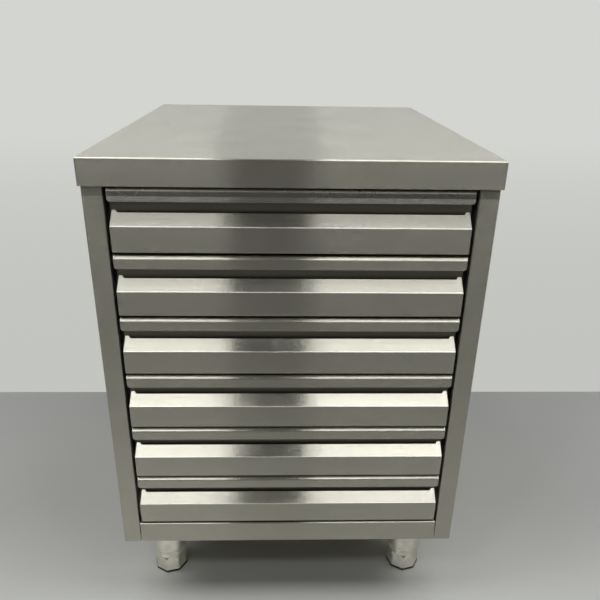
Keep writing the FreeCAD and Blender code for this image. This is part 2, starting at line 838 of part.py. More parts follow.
def make_foot_pad(label, side, row, turn):
    body = foot_body(label, side, row)
    pad(body, outline_sketch(body, "XY", polygon(FOOT_SIDES, "pad_radius", turn)), "pad_thickness")
    plug = polygon(FOOT_SIDES, f"(foot_base_radius - foot_wall/{FLAT} - plug_play)", turn)
    pad(body, outline_sketch(body, "XY", plug, at="pad_thickness/2"), "pad_thickness/2 + plug_height")


def make_cabinet():
    make_worktop()
    make_worktop_core()
    make_side_panel("side_panel_left", -1)
    make_side_panel("side_panel_right", 1)
    make_back_panel()
    make_base_panel()
    make_front_rail()
    make_cross_rail("cross_rail_front", f"{BODY_FRONT} + cross_rail_setback", "back")
    rear = f"{BODY_BACK} - sheet - back_lip - fit_gap - cross_rail_width"
    make_cross_rail("cross_rail_rear", rear, "front")
    for row in ("front", "rear"):
        make_uprights(row)
    for number in range(1, DRAWERS + 1):
        make_fixed_runner(number)
        make_middle_runner(number)
        make_drawer_runner(number)
        make_drawer_grip(number)
        make_drawer_face(number)
        make_drawer_box(number)
    for row in ("front", "rear"):
        make_legs(row)
        for name, side in (("left", -1), ("right", 1)):
            corner = f"{row}_{name}"
            make_foot(f"foot_{corner}", side, row, f"turn_{corner}")
            make_foot_pad(f"foot_pad_{corner}", side, row, f"turn_{corner}")
    make_leg_nuts()


make_cabinet()
doc.recompute()

for item in doc.Objects:
    if "Invalid" in item.State or "Error" in item.State:
        raise RuntimeError(f"{item.Label} failed: {item.State}")
for piece in pieces:
    if piece.Shape.isNull() or not piece.Shape.isValid():
        raise RuntimeError(f"{piece.Label} has no valid shape")

os.makedirs("parts", exist_ok=True)
for piece in pieces:
    piece.Shape.exportStep(f"parts/{piece.Label}.step")
    print(f"{piece.Label}: {len(piece.Shape.Solids)} solid(s), {piece.Shape.Volume / 1000:.1f} cm3")
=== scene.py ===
import math

import bpy
import numpy as np
from mathutils import Matrix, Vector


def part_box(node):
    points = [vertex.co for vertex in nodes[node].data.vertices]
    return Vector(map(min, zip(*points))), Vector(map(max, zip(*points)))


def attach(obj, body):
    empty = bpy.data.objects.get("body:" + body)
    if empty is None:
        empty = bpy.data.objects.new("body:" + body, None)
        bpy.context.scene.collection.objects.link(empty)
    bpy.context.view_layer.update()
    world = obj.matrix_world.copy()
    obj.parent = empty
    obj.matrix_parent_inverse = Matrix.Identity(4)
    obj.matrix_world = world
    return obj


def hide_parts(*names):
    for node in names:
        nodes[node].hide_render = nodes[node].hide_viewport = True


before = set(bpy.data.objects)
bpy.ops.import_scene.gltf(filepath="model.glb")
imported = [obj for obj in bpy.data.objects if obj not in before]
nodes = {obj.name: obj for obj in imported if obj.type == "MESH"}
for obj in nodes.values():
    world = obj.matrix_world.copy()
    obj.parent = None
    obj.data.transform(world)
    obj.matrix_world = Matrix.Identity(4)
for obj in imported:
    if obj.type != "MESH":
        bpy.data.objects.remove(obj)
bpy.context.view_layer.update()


# Worktop: a pan folded from 1.5 mm satin stainless sheet, its grain running from side to side.
# It is wiped down daily, so it carries faint wipe marks, hairline scratches and a slight
# waviness that the sheet keeps from being bonded to its board.

class Field:
    """A value that varies over a surface. Arithmetic on it adds Math nodes."""

    def __init__(self, finish, socket):
        self.finish = finish
        self.socket = socket

    def __add__(self, other):
        return self.finish.maths("ADD", self, other)

    def __sub__(self, other):
        return self.finish.maths("SUBTRACT", self, other)

    def __rsub__(self, other):
        return self.finish.maths("SUBTRACT", other, self)

    def __mul__(self, other):
        return self.finish.maths("MULTIPLY", self, other)

    __radd__ = __add__
    __rmul__ = __mul__


class Finish:
    """A node tree: of a material around one principled shader, or of the world."""

    def __init__(self, owner):
        owner.use_nodes = True
        self.owner = owner
        self.tree = owner.node_tree
        self.shader = self.tree.nodes.get("Principled BSDF")

    def node(self, kind, settings, inputs, output=0):
        made = self.tree.nodes.new(kind)
        for name, setting in settings.items():
            if name == "stops":
                ramp = made.color_ramp.elements
                while len(ramp) < len(setting):
                    ramp.new(1.0)
                for stop, (place, colour) in zip(ramp, setting):
                    stop.position, stop.color = place, (*colour, 1.0)
            else:
                setattr(made, name, setting)
        for name, given in inputs.items():
            self.feed(made.inputs[name], given)
        return Field(self, made.outputs[output])

    def feed(self, socket, given):
        if isinstance(given, Field):
            self.tree.links.new(given.socket, socket)
        else:
            socket.default_value = given

    def maths(self, operation, a, b=0.0):
        return self.node("ShaderNodeMath", {"operation": operation}, {0: a, 1: b})

    def vector(self, operation, a, b=(0.0, 0.0, 0.0)):
        return self.node("ShaderNodeVectorMath", {"operation": operation}, {0: a, 1: b})

    def scaled(self, vector, factor):
        return self.node("ShaderNodeVectorMath", {"operation": "SCALE"},
                         {0: vector, "Scale": factor})

    def mix(self, mask, first, second):
        return self.node("ShaderNodeMix", {"data_type": "RGBA"},
                         {0: mask, 6: first, 7: second}, output=2)

    def place(self):
        """Where a point is, in metres, in the cabinet's frame."""
        return self.node("ShaderNodeTexCoord", {}, {}, output="Object")

    def coordinate(self, axis):
        return self.node("ShaderNodeSeparateXYZ", {}, {0: self.place()}, output=axis)

    def noise(self, stretch, detail=2.0, at=(0.0, 0.0, 0.0)):
        """Noise from 0 to 1, about 0.5, with so many cells to the metre along X, Y and Z."""
        spot = self.node("ShaderNodeMapping", {},
                         {"Vector": self.place(), "Location": at, "Scale": stretch})
        return self.node("ShaderNodeTexNoise", {},
                         {"Vector": spot, "Scale": 1.0, "Detail": detail}, output="Fac")

    def step(self, given, low, high):
        """0 below low, 1 above high, and smooth between."""
        return self.node("ShaderNodeMapRange", {"interpolation_type": "SMOOTHSTEP"},
                         {"Value": given, "From Min": low, "From Max": high})

    def set(self, **inputs):
        """Feeds the principled shader: base_color=... goes to its Base Color."""
        for name, given in inputs.items():
            self.feed(self.shader.inputs[name.replace("_", " ").title()], given)


def new_finish(name):
    return Finish(bpy.data.materials.new(name))


def dress(names, finish):
    """Gives CAD nodes their finish."""
    for name in names:
        nodes[name].data.materials.clear()
        nodes[name].data.materials.append(finish.owner)


def along(grain, length, width):
    """Cells to the metre for streaks of one length and width, in metres, along the grain."""
    return tuple(1 / (length if part else width) for part in grain)


def brushed_normal(finish, grain, strength, depth, width=0.00002, length=0.0008, waviness=0.004):
    """The surface's normal tilted at random across the grain, as the brush's furrows tilt it:
    a little by most of them and far by the few deep ones, whose tilt grows with the cube of
    the noise. The sheet's own waviness tilts it a trace every way."""
    normal = finish.node("ShaderNodeNewGeometry", {}, {}, output="Normal")
    across = finish.vector("CROSS_PRODUCT", grain, normal)
    furrows = finish.noise(along(grain, length, width), detail=1.0, at=(0.31, 0.47, 0.43)) - 0.5
    level = finish.node("ShaderNodeSeparateXYZ", {}, {0: normal}, output="Z")
    depth = finish.maths("ABSOLUTE", level) * (depth - 45.0) + 45.0
    furrows = furrows * (furrows * furrows * depth + strength)
    swell = finish.noise((5.0, 5.0, 5.0), detail=1.0, at=(0.3, 0.2, 0.9)) - 0.5
    tilted = finish.vector("ADD", normal, finish.scaled(across, furrows))
    tilted = finish.vector("ADD", tilted, finish.scaled(grain, swell * waviness))
    tilted = finish.vector("ADD", tilted, finish.scaled(across, swell * waviness))
    return finish.vector("NORMALIZE", tilted)


STEEL = (0.525, 0.503, 0.430, 1.0)
STEEL_WORN = (0.570, 0.550, 0.480, 1.0)
STEEL_DULL = (0.495, 0.473, 0.400, 1.0)
# Painted shade for the recess behind the grip's lip.
STEEL_PAINTED_RECESS_SHADE = (0.17, 0.16, 0.13, 1.0)
# Painted shade for the strip under the worktop's overhang.
STEEL_PAINTED_OVERHANG_SHADE = (0.11, 0.105, 0.09, 1.0)
# Painted highlight for the fold below each slope.
STEEL_PAINTED_HIGHLIGHT = (0.86, 0.85, 0.80, 1.0)
DRAWER_PITCH = 0.1026
SHADE_FOOT = 0.793


def satin_steel(name, grain, strength=0.7, depth=45.0, roughness=0.09, marks=1.0, waviness=0.004,
                inside=None, fold=None, painted_shade=0.0):
    """Satin brushed stainless sheet: furrows along the grain, cloudy wipe marks that dull it,
    and hairline scratches that run a little askew. Behind the depth inside, painted shade
    darkens the recess, which is also made rougher. A painted highlight, a little rougher,
    lies along the fold at that height and repeats from drawer to drawer. Painted shade darkens
    and dulls the strip under the worktop's overhang by the given share, more towards the right."""
    finish = new_finish(name)
    clouds = finish.step(finish.noise((9.0, 11.0, 14.0), detail=4.0), 0.42, 0.68)
    smears = finish.noise((30.0, 12.0, 18.0), detail=5.0, at=(2.0, 0.5, 1.0))
    smears = finish.step(smears, 0.50, 0.72)
    streaks = finish.noise(along(grain, 0.18, 0.0016), detail=3.0, at=(0.7, 0.1, 0.2))
    hair = finish.maths("ABSOLUTE", finish.noise(along(grain, 0.05, 0.011), detail=0.0) - 0.5)
    scratches = 1 - finish.step(hair, 0.0006, 0.0016)
    colour = finish.mix(finish.step(streaks, 0.38, 0.64), STEEL_DULL, STEEL)
    colour = finish.mix(clouds * 0.25 * marks, colour, STEEL_DULL)
    colour = finish.mix(scratches * 0.35 * marks, colour, STEEL_WORN)
    rough = roughness + clouds * 0.035 * marks + smears * 0.03 * marks + (streaks - 0.5) * 0.05
    rough = rough + scratches * 0.08 * marks
    # Painted shade: behind the depth inside the recess is darkened, and it is made rougher.
    if inside:
        painted_recess_shade = finish.step(finish.coordinate("Y"), inside, inside + 0.003)
        colour = finish.mix(painted_recess_shade, colour, STEEL_PAINTED_RECESS_SHADE)
        rough = rough + painted_recess_shade * 0.22
    # Painted shade: the strip under the worktop's overhang is darkened and dulled, more at the
    # right.
    if painted_shade:
        right = finish.step(finish.coordinate("X"), -0.1, 0.2)
        shaded = finish.step(finish.coordinate("Z"), SHADE_FOOT - 0.0004, SHADE_FOOT + 0.0004)
        shaded = shaded * (right * 0.15 + painted_shade)
        colour = finish.mix(shaded, colour, STEEL_PAINTED_OVERHANG_SHADE)
        rough = rough + shaded * 0.20
    # Painted highlight: a bright, slightly rougher line along the fold below each slope.
    if fold:
        drawer = (finish.coordinate("Z") - fold) * (1 / DRAWER_PITCH) + 0.5
        beside = finish.maths("ABSOLUTE", finish.maths("FRACT", drawer) - 0.5) * DRAWER_PITCH
        painted_fold_highlight = 1 - finish.step(beside, 0.0005, 0.0013)
        colour = finish.mix(painted_fold_highlight * 0.8, colour, STEEL_PAINTED_HIGHLIGHT)
        rough = rough + painted_fold_highlight * 0.10
    finish.set(base_color=colour, metallic=0.88, roughness=rough,
               normal=brushed_normal(finish, grain, strength, depth, waviness=waviness))
    return finish


SIDEWAYS = (1.0, 0.0, 0.0)
LEVEL = (1.0, 1.0, 0.0)
dress(["worktop"], satin_steel("worktop_steel", SIDEWAYS, strength=0.5, depth=200.0))


# Body: side panels with wide front flanges, the back, the base and the plinth rail, folded
# from 1 mm satin sheet, its grain level all round.

# Painted shade darkens the strip of the panels under the worktop's overhang, more at the right.
dress(["side_panel_left", "side_panel_right", "back_panel"],
      satin_steel("panel_steel", LEVEL, painted_shade=0.45))
dress(["base_panel", "front_rail"], satin_steel("rail_steel", SIDEWAYS))


# Board under the worktop: moisture-resistant particle board, glued to the steel, its faces
# pressed smooth and flecked with light and dark chips.

def chip_board(name):
    finish = new_finish(name)
    chips = finish.noise((420.0, 420.0, 900.0), detail=3.0)
    flecks = finish.noise((150.0, 240.0, 400.0), detail=1.0, at=(0.5, 0.0, 0.0))
    flecks = finish.step(flecks, 0.58, 0.66)
    colour = finish.node("ShaderNodeValToRGB", {"stops": [
        (0.30, (0.22, 0.14, 0.075)), (0.52, (0.45, 0.33, 0.20)), (0.72, (0.60, 0.47, 0.31)),
    ]}, {"Fac": chips})
    colour = finish.mix(flecks * 0.6, colour, (0.30, 0.36, 0.24, 1.0))
    bump = finish.node("ShaderNodeBump", {}, {"Height": chips, "Distance": 0.0004,
                                              "Strength": 0.6})
    finish.set(base_color=colour, roughness=0.75 + (chips - 0.5) * 0.3, normal=bump)
    return finish


dress(["worktop_core"], chip_board("particle_board"))


# Inner frame: cross rails under the worktop and the hat-section uprights that carry the
# runners, bent from mill-finish sheet and spot welded, so their skin is duller and mottled.

def mill_steel(name, roughness=0.30, scuffs=0.0):
    """Cold rolled stainless sheet as it comes from the mill: no grain, a soft dull mirror with
    faint roller lines and cloudy patches. Scuffs are short scrapes in every direction."""
    finish = new_finish(name)
    patches = finish.noise((22.0, 16.0, 22.0), detail=4.0)
    pits = finish.noise((900.0, 900.0, 900.0), detail=2.0)
    rolled = finish.noise(along(SIDEWAYS, 0.3, 0.0009), detail=2.0)
    colour = finish.mix(finish.step(patches, 0.4, 0.65), (0.50, 0.495, 0.475, 1.0),
                        (0.57, 0.565, 0.545, 1.0))
    bump = finish.node("ShaderNodeBump", {}, {"Height": pits + rolled * 0.6, "Distance": 0.00004,
                                              "Strength": 0.5})
    rough = roughness + (patches - 0.5) * 0.18 + (pits - 0.5) * 0.08
    if scuffs:
        scrapes = finish.maths("ABSOLUTE", finish.noise((26.0, 7.0, 15.0), detail=3.0) - 0.5)
        crossed = finish.maths("ABSOLUTE", finish.noise((6.0, 31.0, 15.0), detail=3.0) - 0.5)
        scrapes = 1 - finish.step(finish.maths("MINIMUM", scrapes, crossed), 0.0015, 0.006)
        worn = finish.step(patches, 0.44, 0.6) * scrapes * scuffs
        colour = finish.mix(worn, colour, (0.40, 0.395, 0.375, 1.0))
        rough = rough + worn * 0.25
    finish.set(base_color=colour, metallic=1.0, normal=bump, roughness=rough)
    return finish


frame_nodes = ["cross_rail_front", "cross_rail_rear", "front_uprights", "rear_uprights"]
dress(frame_nodes, mill_steel("frame_steel"))


# Telescopic runners: three nested channels a side, rolled from zinc-plated strip, with a film
# of ball grease and grey wear lines where the balls run.

def zinc_strip(name):
    finish = new_finish(name)
    spangle = finish.noise((260.0, 60.0, 260.0), detail=3.0)
    grease = finish.noise((40.0, 7.0, 60.0), detail=3.0, at=(1.0, 2.0, 0.0))
    grease = finish.step(grease, 0.46, 0.62)
    drawn = finish.noise((1500.0, 8.0, 1500.0), detail=1.0)
    colour = finish.mix(finish.step(spangle, 0.35, 0.65), (0.56, 0.58, 0.60, 1.0),
                        (0.70, 0.71, 0.72, 1.0))
    colour = finish.mix(grease * 0.35, colour, (0.40, 0.38, 0.30, 1.0))
    bump = finish.node("ShaderNodeBump", {}, {"Height": drawn, "Distance": 0.00003,
                                              "Strength": 0.6})
    finish.set(base_color=colour, metallic=1.0, normal=bump,
               roughness=0.26 + (spangle - 0.5) * 0.2 + grease * 0.12)
    return finish


DRAWERS = range(1, 7)
MEMBERS = ("fixed", "middle", "drawer")
dress([f"{member}_runner_{n}" for n in DRAWERS for member in MEMBERS],
      zinc_strip("zinc_plated_strip"))


# Drawer fronts: each a grip with its hooked lip and a face with the finger slope, folded from
# satin sheet with the grain from side to side. A highlight is painted along the fold below the
# slope.

def grid_mesh(name, points):
    """A mesh from an array of points, rows by columns, whose columns close into rings."""
    rows, columns, _ = points.shape
    down, round_ = np.meshgrid(np.arange(rows - 1), np.arange(columns), indexing="ij")
    beside = (round_ + 1) % columns
    quads = np.stack([down * columns + round_, down * columns + beside,
                      (down + 1) * columns + beside, (down + 1) * columns + round_], axis=-1)
    mesh = bpy.data.meshes.new(name)
    mesh.from_pydata(points.reshape(-1, 3).tolist(), [], quads.reshape(-1, 4).tolist())
    mesh.polygons.foreach_set("use_smooth", np.ones(len(mesh.polygons), bool))
    mesh.update()
    return mesh


def add_piece(name, points, finish, body, slot, *replaced):
    """A new piece that rides a body and stands in for the CAD nodes it replaces."""
    mesh = grid_mesh(name, points)
    piece = bpy.data.objects.new(name, mesh)
    bpy.context.scene.collection.objects.link(piece)
    mesh.materials.append(finish.owner)
    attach(piece, body)
    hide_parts(*replaced)


FLAT_MARGIN = 0.0002
END_SPREAD = 0.0045
NOTCH_SPREAD = 0.0032


def folded(path, sides=6):
    """The points along a folded section, from corners (across, up, bend): an arc of that radius
    at each corner, with a point just before and just after it that keeps the flats flat."""
    corners = np.array(path)
    spots, bends = corners[:, :2], corners[:, 2]
    points = [spots[0]]
    for before, corner, after, bend in zip(spots[:-2], spots[1:-1], spots[2:], bends[1:-1]):
        toward = (before - corner) / np.linalg.norm(before - corner)
        onward = (after - corner) / np.linalg.norm(after - corner)
        half = math.acos(np.clip(np.dot(toward, onward), -1.0, 1.0)) / 2
        setback = bend / math.tan(half)
        inward = (toward + onward) / np.linalg.norm(toward + onward)
        centre = corner + inward * bend / math.sin(half)
        points.append(corner + toward * (setback + FLAT_MARGIN))
        first = corner + toward * setback - centre
        last = corner + onward * setback - centre
        for share in np.linspace(0.0, 1.0, sides):
            spoke = first * (1 - share) + last * share
            points.append(centre + spoke / np.linalg.norm(spoke) * bend)
        points.append(corner + onward * (setback + FLAT_MARGIN))
    return np.array(points + [spots[-1]])


def stations(half, ends=()):
    """Places along X from -half to half, close together at the ends and at each given place."""
    near = np.concatenate([[FLAT_MARGIN], np.linspace(0.0, 1.0, 9)[1:] ** 2 * END_SPREAD])
    places = [0.0, half, *(half - near)]
    for end in ends:
        places += [*(end - np.linspace(0.0, 1.0, 9) * NOTCH_SPREAD), end + FLAT_MARGIN]
    places = np.unique(np.round(places, 6))
    return np.concatenate([-places[:0:-1], places])


def swept(section, places, middle):
    """Sections (across, up) of a fold set side by side along X. Each end is closed flat by
    drawing its ring together onto the points in middle."""
    rings = [section(abs(x)) for x in places]
    rows = [(places[0], middle), (places[0], rings[0] * 0.98 + middle * 0.02), *zip(places, rings),
            (places[-1], rings[-1] * 0.98 + middle * 0.02), (places[-1], middle)]
    return np.array([[(x, *point) for point in ring] for x, ring in rows])


SHEET = 0.0010
FRONT_TOP = 0.0980
GRIP_DEPTH = 0.0145
GRIP_BACK = 0.0230
GRIP_FOOT = 0.0060
GRIP_BEND = 0.0020
LIP_EDGE = 0.0770
LIP_BEND = 0.0065
LIP_CORNER = 0.0040
FACE_FOLD = 0.0400
FOLD_BEND = 0.0022
FOOT_BEND = 0.0020
SLOPE = 22.6 / 14.5
SLOPE_EDGE = 0.0123
SLOPE_LIP = 0.0100
EDGE_BEND = 0.0004
BOX_LAP = 0.0002
TAB = 0.0080
NOTCH_ROUND = 0.0030
END_TAPER = 0.0023
FACE_HEART = (0.0080, 0.0250)


def grip_section(half, y, z):
    """From the foot of the back wall up, over the top, round the bend and down the lip, then
    back inside at the sheet's thickness. The lip's lower corners are rounded."""
    def section(x):
        corner = min(max(x - (half - LIP_CORNER), 0.0), LIP_CORNER)
        edge = LIP_EDGE + LIP_CORNER - math.sqrt(LIP_CORNER ** 2 - corner ** 2)
        ceiling = FRONT_TOP - SHEET
        outer = folded([(GRIP_BACK, GRIP_FOOT, 0), (GRIP_BACK, FRONT_TOP, GRIP_BEND),
                        (0, FRONT_TOP, LIP_BEND), (0, edge, 0.0002), (SHEET / 2, edge, 0)])
        inner = folded([(GRIP_DEPTH, GRIP_FOOT, 0), (GRIP_DEPTH, ceiling, GRIP_BEND - SHEET),
                        (SHEET, ceiling, LIP_BEND - SHEET), (SHEET, edge, 0.0002),
                        (SHEET / 2, edge, 0)])
        return np.concatenate([outer, inner[-2::-1]]) + (y, z)
    return section


def grip_middle(section, half):
    """Halfway between each point of the end's ring and the one across the sheet from it."""
    ring = section(half)
    return (ring + ring[::-1]) / 2


def face_section(half, y, z):
    """Down the slope and the face and back under it. Between the tabs the slope stops short of
    the back wall and is turned down, and the notch runs out in a quarter circle."""
    def section(x):
        notch = min(max(x - (half - TAB - NOTCH_ROUND), 0.0), NOTCH_ROUND)
        edge = SLOPE_EDGE + NOTCH_ROUND - math.sqrt(NOTCH_ROUND ** 2 - notch ** 2)
        in_tab = x > half - TAB - FLAT_MARGIN / 2
        edge = GRIP_DEPTH if in_tab else min(GRIP_DEPTH, edge)
        top = FACE_FOLD + SLOPE * edge
        back = GRIP_DEPTH + BOX_LAP
        front = folded([(edge + BOX_LAP / 2, top - SLOPE_LIP, 0),
                        (edge + BOX_LAP / 2, top, EDGE_BEND), (0, FACE_FOLD, FOLD_BEND),
                        (0, 0, FOOT_BEND), (back, 0, 0.0005), (back, top - SLOPE_LIP, 0)])
        return front + (y, z)
    return section


low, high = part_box("drawer_face_1")
# The grips carry painted shade in the recess behind the lip and under the worktop's overhang.
grip_finish = satin_steel("drawer_grip_steel", SIDEWAYS, waviness=0.001, inside=-0.332,
                          painted_shade=0.7)
# The faces carry a painted highlight along the fold below the slope.
face_finish = satin_steel("drawer_face_steel", SIDEWAYS, fold=low.z + FACE_FOLD)
for n in DRAWERS:
    low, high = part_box(f"drawer_face_{n}")
    half = (high.x - low.x) / 2
    grip = grip_section(half, low.y, low.z)
    points = swept(grip, stations(half), grip_middle(grip, half))
    add_piece(f"front_grip_{n}", points, grip_finish, f"drawer_{n}", "front_steel",
              f"drawer_grip_{n}")
    face = face_section(half, low.y, low.z)
    heart = np.array((low.y, low.z)) + FACE_HEART + 0 * face(half)
    points = swept(face, stations(half, ends=[half - TAB]), heart)
    rise = np.clip((points[..., 2] - low.z - FACE_FOLD) / (SLOPE * GRIP_DEPTH), 0.0, 1.0)
    near = np.clip((np.abs(points[..., 0]) - half + TAB) / TAB, 0.0, 1.0)
    points[..., 0] -= np.sign(points[..., 0]) * END_TAPER * rise * near
    add_piece(f"front_face_{n}", points, face_finish, f"drawer_{n}", "front_steel",
              f"drawer_face_{n}")


# Drawer boxes: trays folded from mill-finish sheet with a hemmed rim, spot welded to the
# fronts, scraped by what slides about in them.

dress([f"drawer_box_{n}" for n in DRAWERS], mill_steel("tray_steel", roughness=0.27, scuffs=0.7))


# Legs: polished stainless tube of 63.5 mm, closed at the foot by a threaded bush and welded to
# a plate at the top, with the threaded stud that goes up through the base.

def ringed(centre, radii, heights, turn=0.0):
    """Rings about an upright axis: x is the radius times the cosine of the angle, y the radius
    times its sine. A ring's radii are a row of the array; its angles start at the turn, in
    degrees."""
    sides = np.shape(radii)[1]
    angle = math.radians(turn) + np.linspace(0.0, 2 * math.pi, sides, endpoint=False)
    heights = np.asarray(heights) + 0.0 * angle
    return np.stack([centre[0] + radii * np.cos(angle), centre[1] + radii * np.sin(angle),
                     heights], axis=-1)


def thread(radius, pitch, depth, foot, top, sides):
    """A screw thread: the radius falls by the depth once in each pitch, a turn higher up."""
    heights = np.arange(foot, top, pitch / 10)[:, None]
    angle = np.linspace(0.0, 1.0, sides, endpoint=False)[None, :]
    wave = 0.5 - 0.5 * np.cos(2 * math.pi * (heights / pitch - angle))
    fade = np.clip(np.minimum(heights - foot, top - heights) / pitch, 0.0, 1.0)
    return radius - depth * np.maximum(wave, 1 - fade), heights


UPRIGHT = (0.0, 0.0, 1.0)
TUBE_BRIGHT = (0.88, 0.85, 0.74, 1.0)
TUBE_CLOUDED = (0.70, 0.67, 0.57, 1.0)


def polished_tube(name):
    """Tube polished in a lathe: fine lines run round it, so the normal tilts up and down, and
    more up than down as the tool leans."""
    finish = new_finish(name)
    normal = finish.node("ShaderNodeNewGeometry", {}, {}, output="Normal")
    lines = finish.noise((20.0, 20.0, 2600.0), detail=2.0, at=(0.3, 0.4, 0.2)) - 0.5
    clouds = finish.step(finish.noise((60.0, 60.0, 60.0), detail=4.0), 0.42, 0.66)
    colour = finish.mix(clouds * 0.4, TUBE_BRIGHT, TUBE_CLOUDED)
    tilted = finish.vector("ADD", normal, finish.scaled(UPRIGHT, lines * 0.7 + 0.20))
    finish.set(base_color=colour, metallic=1.0, roughness=0.16 + clouds * 0.10,
               normal=finish.vector("NORMALIZE", tilted))
    return finish


LEG_RADIUS = 0.03175
LEG_FOOT = 0.038
LEG_ROUND = 0.0018
LEG_RINGS = (0.0440, 0.0475, 0.0500, 0.0525)
RING_HALF = 0.0005
LEG_SIDES = 144
BUSH_BORE, BUSH_TOP, BUSH_SEAM = 0.0081, 0.0500, 0.0302
BEAD = 0.0038
PLATE_UNDERSIDE, PLATE_TOP = 0.147, 0.150
PLATE_HALF, PLATE_CUT = 0.047, 0.012
STUD_RADIUS, STUD_PITCH, STUD_DEPTH, STUD_TOP = 0.0060, 0.00175, 0.0009, 0.1640
ROWS = ("front", "rear")
CORNERS = [(row, side) for row in ROWS for side in ("left", "right")]
legs_low, legs_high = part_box("front_legs")
LEG_X = (legs_high.x - legs_low.x) / 2 - PLATE_HALF
LEG_Y = {row: sum(corner.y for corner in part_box(f"{row}_legs")) / 2 for row in ROWS}


def corner_spot(row, side):
    return (-LEG_X if side == "left" else LEG_X, LEG_Y[row])


def leg_rings():
    """The bush's bore, the tube's rounded foot, the tube with its polished rings, the weld bead
    with its ripples, the plate (a square with its corners cut) and the stud's thread, as radii
    and heights."""
    profile = [(BUSH_BORE, BUSH_TOP), (BUSH_BORE, LEG_FOOT), (BUSH_SEAM - 0.0002, LEG_FOOT),
               (BUSH_SEAM, LEG_FOOT + 0.0006), (BUSH_SEAM + 0.0002, LEG_FOOT),
               (LEG_RADIUS - 0.0013, LEG_FOOT), (LEG_RADIUS - 0.0011, LEG_FOOT + 0.0004),
               (LEG_RADIUS - 0.0004, LEG_FOOT + 0.0014), (LEG_RADIUS, LEG_FOOT + LEG_ROUND),
               (LEG_RADIUS, LEG_FOOT + LEG_ROUND + FLAT_MARGIN)]
    for ring in LEG_RINGS:
        profile += [(LEG_RADIUS, ring - RING_HALF - FLAT_MARGIN), (LEG_RADIUS, ring - RING_HALF),
                    (LEG_RADIUS - RING_HALF, ring), (LEG_RADIUS, ring + RING_HALF),
                    (LEG_RADIUS, ring + RING_HALF + FLAT_MARGIN)]
    bead = [(LEG_RADIUS, PLATE_UNDERSIDE - 0.0048), (LEG_RADIUS, PLATE_UNDERSIDE - 0.0045)]
    bead += [(LEG_RADIUS + BEAD * math.sin(turn), PLATE_UNDERSIDE - BEAD * math.cos(turn))
             for turn in np.linspace(0.15, 1.45, 6)]
    angle = np.linspace(0.0, 2 * math.pi, LEG_SIDES, endpoint=False)
    ripple = 1.0 + 0.006 * np.sin(46 * angle)
    cosine, sine = np.abs(np.cos(angle)), np.abs(np.sin(angle))
    outline = np.minimum(PLATE_HALF / np.maximum(cosine, sine),
                         (2 * PLATE_HALF - PLATE_CUT) / (cosine + sine))
    level = np.ones(LEG_SIDES)
    radii = [radius * level for radius, _ in profile]
    heights = [height for _, height in profile]
    radii += [radius * (ripple if height > PLATE_UNDERSIDE - 0.004 else level)
              for radius, height in bead]
    heights += [height for _, height in bead]
    radii += [outline - 0.0006, outline - 0.0003, outline]
    heights += [PLATE_UNDERSIDE, PLATE_UNDERSIDE, PLATE_UNDERSIDE + 0.0003]
    radii += [outline, outline - 0.0003, outline - 0.0006]
    heights += [PLATE_TOP - 0.0003, PLATE_TOP, PLATE_TOP]
    screw, rises = thread(STUD_RADIUS, STUD_PITCH, STUD_DEPTH, PLATE_TOP, STUD_TOP, LEG_SIDES)
    radii += [(STUD_RADIUS + 0.0002) * level, *screw, 0.0045 * level, 0.0 * level]
    heights += [PLATE_TOP, *rises[:, 0], STUD_TOP, STUD_TOP]
    return np.array(radii), np.array(heights)[:, None]


leg_finish = polished_tube("polished_tube")
for row, side in CORNERS:
    add_piece(f"leg_{row}_{side}", ringed(corner_spot(row, side), *leg_rings()), leg_finish,
              "root", "tube_steel", f"{row}_legs")


# Feet: an eight-sided cup pressed from stainless, chamfered round its top as a nut is, on a
# screw stem that turns in the leg's bush, with a black plastic base.

def black_plastic(name):
    finish = new_finish(name)
    grit = finish.noise((1800.0, 1800.0, 1800.0), detail=2.0)
    dust = finish.step(finish.noise((90.0, 90.0, 200.0), detail=4.0), 0.5, 0.75)
    colour = finish.mix(dust * 0.4, (0.010, 0.010, 0.010, 1.0), (0.045, 0.042, 0.038, 1.0))
    bump = finish.node("ShaderNodeBump", {}, {"Height": grit, "Distance": 0.0001, "Strength": 0.5})
    finish.set(base_color=colour, roughness=0.5 + dust * 0.2, normal=bump)
    return finish


FOOT_SIDES = 192
PAD_TOP = 0.0045
CUP_TOP = 0.0377
CUP_FOOT_RADIUS, CUP_TOP_RADIUS = 0.0320, 0.0312
CONE_RADIUS, CONE_SLOPE = 0.0290, 0.25
STEM_RADIUS, STEM_PITCH, STEM_DEPTH = 0.0080, 0.0020, 0.0011
THREAD_TOP, STEM_TOP = 0.0960, 0.0969
FOOT_TURN = {("front", "left"): 37.0, ("front", "right"): 37.0,
             ("rear", "left"): 9.0, ("rear", "right"): 33.0}


def octagon(corner_radius):
    """The radius of an eight-sided outline with slightly softened corners, its first corner at
    the turn: the flat's distance over the cosine of the angle from the flat's middle."""
    angle = np.linspace(0.0, 2 * math.pi, FOOT_SIDES, endpoint=False)
    off_middle = (angle % (math.pi / 4)) - math.pi / 8
    flat = corner_radius * math.cos(math.pi / 8)
    return np.minimum(flat / np.cos(off_middle), corner_radius * 0.983)


